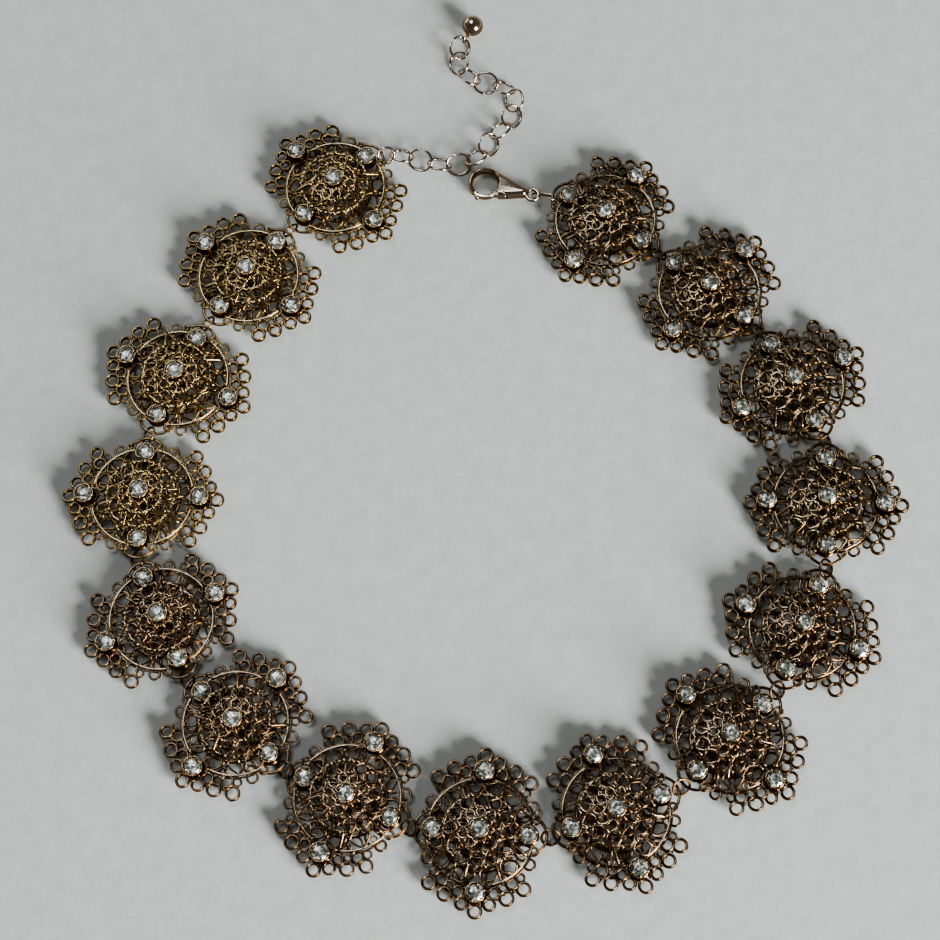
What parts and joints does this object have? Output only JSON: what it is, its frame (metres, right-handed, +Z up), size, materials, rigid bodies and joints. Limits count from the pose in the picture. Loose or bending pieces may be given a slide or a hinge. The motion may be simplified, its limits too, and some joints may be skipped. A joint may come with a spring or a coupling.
{
  "type": "chain necklace",
  "caption": "Collar necklace of domed filigree medallions set with round crystals, joined by jump rings, with a lobster clasp and an extension chain.",
  "frame": {"origin": "under the middle of the necklace's outline, on the surface it lies on", "axes": "+Z up, out of the faces of the medallions; +Y from the front medallion towards the clasp and the extension chain; +X to the right"},
  "size_m": [0.1554, 0.177, 0.0071],
  "materials": {
    "antique_gold": "antiqued gold plating on stamped and wire filigree, dark in the recesses",
    "bright_gold": "polished rose-gold plating",
    "crystal": "foil-backed faceted glass",
    "spring_steel": "bare wire"
  },
  "bodies": {
    "medallion_01": {"filigree_01": "antique_gold", "crystals_01": "crystal"},
    "medallion_02": {"filigree_02": "antique_gold", "crystals_02": "crystal"},
    "medallion_03": {"filigree_03": "antique_gold", "crystals_03": "crystal"},
    "medallion_04": {"filigree_04": "antique_gold", "crystals_04": "crystal"},
    "medallion_05": {"filigree_05": "antique_gold", "crystals_05": "crystal"},
    "medallion_06": {"filigree_06": "antique_gold", "crystals_06": "crystal"},
    "medallion_07": {"filigree_07": "antique_gold", "crystals_07": "crystal"},
    "medallion_08": {"filigree_08": "antique_gold", "crystals_08": "crystal"},
    "medallion_09": {"filigree_09": "antique_gold", "crystals_09": "crystal"},
    "medallion_10": {"filigree_10": "antique_gold", "crystals_10": "crystal"},
    "medallion_11": {"filigree_11": "antique_gold", "crystals_11": "crystal"},
    "medallion_12": {"filigree_12": "antique_gold", "crystals_12": "crystal"},
    "medallion_13": {"filigree_13": "antique_gold", "crystals_13": "crystal"},
    "medallion_14": {"filigree_14": "antique_gold", "crystals_14": "crystal"},
    "medallion_15": {"filigree_15": "antique_gold", "crystals_15": "crystal"},
    "jump_ring_01": {"jump_ring_01": "antique_gold"},
    "jump_ring_02": {"jump_ring_02": "antique_gold"},
    "jump_ring_03": {"jump_ring_03": "antique_gold"},
    "jump_ring_04": {"jump_ring_04": "antique_gold"},
    "jump_ring_05": {"jump_ring_05": "antique_gold"},
    "jump_ring_06": {"jump_ring_06": "antique_gold"},
    "jump_ring_07": {"jump_ring_07": "antique_gold"},
    "jump_ring_08": {"jump_ring_08": "antique_gold"},
    "jump_ring_09": {"jump_ring_09": "antique_gold"},
    "jump_ring_10": {"jump_ring_10": "antique_gold"},
    "jump_ring_11": {"jump_ring_11": "antique_gold"},
    "jump_ring_12": {"jump_ring_12": "antique_gold"},
    "jump_ring_13": {"jump_ring_13": "antique_gold"},
    "jump_ring_14": {"jump_ring_14": "antique_gold"},
    "end_ring": {"end_ring": "bright_gold"},
    "chain_link_1": {"chain_link_1": "bright_gold"},
    "chain_link_2": {"chain_link_2": "bright_gold"},
    "chain_link_3": {"chain_link_3": "bright_gold"},
    "chain_link_4": {"chain_link_4": "bright_gold"},
    "extension_1": {"extension_links_1": "bright_gold"},
    "extension_2": {"extension_links_2": "bright_gold"},
    "extension_3": {"extension_links_3": "bright_gold"},
    "extension_4": {"extension_links_4": "bright_gold"},
    "ball_end": {"ball_end": "bright_gold"},
    "clasp_ring": {"clasp_ring": "bright_gold"},
    "clasp": {"clasp_body": "bright_gold", "clasp_pin": "bright_gold", "clasp_spring": "spring_steel"},
    "clasp_lever": {"clasp_lever": "bright_gold"}
  },
  "joints": [
    {"name": "fold_07", "type": "hinge", "parent": "medallion_08", "child": "jump_ring_07", "pos_m": [-0.01155, -0.07246, 0.0014], "axis": [0.0698, 0.9976, 0], "range_deg": [-25, 25]},
    {"name": "swivel_07", "type": "hinge", "parent": "jump_ring_07", "child": "medallion_07", "pos_m": [-0.01215, -0.07242, 0.0014], "axis": [0, 0, 1], "range_deg": [0, 31]},
    {"name": "fold_06", "type": "hinge", "parent": "medallion_07", "child": "jump_ring_06", "pos_m": [-0.03381, -0.06232, 0.0014], "axis": [0.4226, 0.9063, 0], "range_deg": [-25, 25]},
    {"name": "swivel_06", "type": "hinge", "parent": "jump_ring_06", "child": "medallion_06", "pos_m": [-0.03435, -0.06207, 0.0014], "axis": [0, 0, 1], "range_deg": [0, 27]},
    {"name": "fold_05", "type": "hinge", "parent": "medallion_06", "child": "jump_ring_05", "pos_m": [-0.05212, -0.04607, 0.0014], "axis": [0.6691, 0.7431, 0], "range_deg": [-25, 25]},
    {"name": "swivel_05", "type": "hinge", "parent": "jump_ring_05", "child": "medallion_05", "pos_m": [-0.05256, -0.04567, 0.0014], "axis": [0, 0, 1], "range_deg": [0, 33]},
    {"name": "fold_04", "type": "hinge", "parent": "medallion_05", "child": "jump_ring_04", "pos_m": [-0.06266, -0.02401, 0.0014], "axis": [0.9063, 0.4226, 0], "range_deg": [-25, 25]},
    {"name": "swivel_04", "type": "hinge", "parent": "jump_ring_04", "child": "medallion_04", "pos_m": [-0.06291, -0.02347, 0.0014], "axis": [0, 0, 1], "range_deg": [0, 37]},
    {"name": "fold_03", "type": "hinge", "parent": "medallion_04", "child": "jump_ring_03", "pos_m": [-0.06208, 0.00042, 0.0014], "axis": [0.9994, -0.0349, 0], "range_deg": [-25, 25]},
    {"name": "swivel_03", "type": "hinge", "parent": "jump_ring_03", "child": "medallion_03", "pos_m": [-0.06206, 0.00102, 0.0014], "axis": [0, 0, 1], "range_deg": [0, 32]},
    {"name": "fold_02", "type": "hinge", "parent": "medallion_03", "child": "jump_ring_02", "pos_m": [-0.05234, 0.02285, 0.0014], "axis": [0.9135, -0.4067, 0], "range_deg": [-25, 25]},
    {"name": "swivel_02", "type": "hinge", "parent": "jump_ring_02", "child": "medallion_02", "pos_m": [-0.0521, 0.0234, 0.0014], "axis": [0, 0, 1], "range_deg": [0, 24]},
    {"name": "fold_01", "type": "hinge", "parent": "medallion_02", "child": "jump_ring_01", "pos_m": [-0.03738, 0.04223, 0.0014], "axis": [0.788, -0.6157, 0], "range_deg": [-25, 25]},
    {"name": "swivel_01", "type": "hinge", "parent": "jump_ring_01", "child": "medallion_01", "pos_m": [-0.03701, 0.0427, 0.0014], "axis": [0, 0, 1], "range_deg": [0, 16]},
    {"name": "fold_08", "type": "hinge", "parent": "medallion_08", "child": "jump_ring_08", "pos_m": [0.01169, -0.07409, 0.0014], "axis": [0.0698, 0.9976, 0], "range_deg": [-25, 25]},
    {"name": "swivel_08", "type": "hinge", "parent": "jump_ring_08", "child": "medallion_09", "pos_m": [0.01229, -0.07413, 0.0014], "axis": [0, 0, -1], "range_deg": [0, 35]},
    {"name": "fold_09", "type": "hinge", "parent": "medallion_09", "child": "jump_ring_09", "pos_m": [0.0346, -0.06556, 0.0014], "axis": [-0.3584, 0.9336, 0], "range_deg": [-25, 25]},
    {"name": "swivel_09", "type": "hinge", "parent": "jump_ring_09", "child": "medallion_10", "pos_m": [0.03516, -0.06535, 0.0014], "axis": [0, 0, -1], "range_deg": [0, 34]},
    {"name": "fold_10", "type": "hinge", "parent": "medallion_10", "child": "jump_ring_10", "pos_m": [0.05206, -0.04845, 0.0014], "axis": [-0.7071, 0.7071, 0], "range_deg": [-25, 25]},
    {"name": "swivel_10", "type": "hinge", "parent": "jump_ring_10", "child": "medallion_11", "pos_m": [0.05249, -0.04802, 0.0014], "axis": [0, 0, -1], "range_deg": [0, 32]},
    {"name": "fold_11", "type": "hinge", "parent": "medallion_11", "child": "jump_ring_11", "pos_m": [0.06183, -0.02602, 0.0014], "axis": [-0.9205, 0.3907, 0], "range_deg": [-25, 25]},
    {"name": "swivel_11", "type": "hinge", "parent": "jump_ring_11", "child": "medallion_12", "pos_m": [0.06206, -0.02547, 0.0014], "axis": [0, 0, -1], "range_deg": [0, 31]},
    {"name": "fold_12", "type": "hinge", "parent": "medallion_12", "child": "jump_ring_12", "pos_m": [0.06289, -0.00159, 0.0014], "axis": [-0.9994, 0.0349, 0], "range_deg": [-25, 25]},
    {"name": "swivel_12", "type": "hinge", "parent": "jump_ring_12", "child": "medallion_13", "pos_m": [0.06291, -0.00099, 0.0014], "axis": [0, 0, -1], "range_deg": [0, 39]},
    {"name": "fold_13", "type": "hinge", "parent": "medallion_13", "child": "jump_ring_13", "pos_m": [0.05207, 0.02031, 0.0014], "axis": [-0.891, -0.454, 0], "range_deg": [-25, 25]},
    {"name": "swivel_13", "type": "hinge", "parent": "jump_ring_13", "child": "medallion_14", "pos_m": [0.05179, 0.02084, 0.0014], "axis": [0, 0, -1], "range_deg": [-8, 0]},
    {"name": "fold_14", "type": "hinge", "parent": "medallion_14", "child": "jump_ring_14", "pos_m": [0.03376, 0.03652, 0.0014], "axis": [-0.6561, -0.7547, 0], "range_deg": [-25, 25]},
    {"name": "swivel_14", "type": "hinge", "parent": "jump_ring_14", "child": "medallion_15", "pos_m": [0.0333, 0.03692, 0.0014], "axis": [0, 0, -1], "range_deg": [-20, 0]},
    {"name": "end_ring_fold", "type": "hinge", "parent": "medallion_01", "child": "end_ring", "pos_m": [-0.01948, 0.05836, 0.0014], "axis": [0.2588, -0.9659, 0], "range_deg": [-25, 25]},
    {"name": "link_1_swivel", "type": "hinge", "parent": "end_ring", "child": "chain_link_1", "pos_m": [-0.01772, 0.05883, 0.0013], "axis": [0, 0, 1], "range_deg": [0, 30]},
    {"name": "link_2_fold", "type": "hinge", "parent": "chain_link_1", "child": "chain_link_2", "pos_m": [-0.01404, 0.05798, 0.0013], "axis": [-0.2588, -0.9659, 0], "range_deg": [-30, 30]},
    {"name": "link_3_swivel", "type": "hinge", "parent": "chain_link_2", "child": "chain_link_3", "pos_m": [-0.01043, 0.05688, 0.0013], "axis": [0, 0, 1], "range_deg": [0, 30]},
    {"name": "link_4_fold", "type": "hinge", "parent": "chain_link_3", "child": "chain_link_4", "pos_m": [-0.00673, 0.05609, 0.0013], "axis": [-0.0175, -0.9998, 0], "range_deg": [-30, 30]},
    {"name": "extension_1_swivel", "type": "hinge", "parent": "chain_link_4", "child": "extension_1", "pos_m": [-0.003, 0.05675, 0.0013], "axis": [0, 0, 1], "range_deg": [0, 30]},
    {"name": "extension_2_fold", "type": "hinge", "parent": "extension_1", "child": "extension_2", "pos_m": [0.0045, 0.06498, 0.0013], "axis": [0.8039, -0.5948, 0], "range_deg": [-30, 30]},
    {"name": "extension_3_swivel", "type": "hinge", "parent": "extension_2", "child": "extension_3", "pos_m": [0.00221, 0.0739, 0.0013], "axis": [0, 0, 1], "range_deg": [-30, 30]},
    {"name": "extension_4_fold", "type": "hinge", "parent": "extension_3", "child": "extension_4", "pos_m": [-0.00428, 0.07679, 0.0013], "axis": [0.829, 0.5592, 0], "range_deg": [-30, 30]},
    {"name": "ball_swivel", "type": "hinge", "parent": "extension_4", "child": "ball_end", "pos_m": [-0.00392, 0.08364, 0.0013], "axis": [0, 0, 1], "range_deg": [-30, 30]},
    {"name": "clasp_ring_fold", "type": "hinge", "parent": "medallion_15", "child": "clasp_ring", "pos_m": [0.01313, 0.04917, 0.0014], "axis": [-0.1392, -0.9903, 0], "range_deg": [-25, 25]},
    {"name": "clasp_swivel", "type": "hinge", "parent": "clasp_ring", "child": "clasp", "pos_m": [0.00939, 0.0497, 0.0014], "axis": [0, 0, 1], "range_deg": [0, 25]},
    {"name": "lever", "type": "hinge", "parent": "clasp", "child": "clasp_lever", "pos_m": [0.00391, 0.04972, 0.0014], "axis": [0, 0, -1], "range_deg": [0, 25], "stiffness_Nm_per_rad": 0.002}
  ]
}
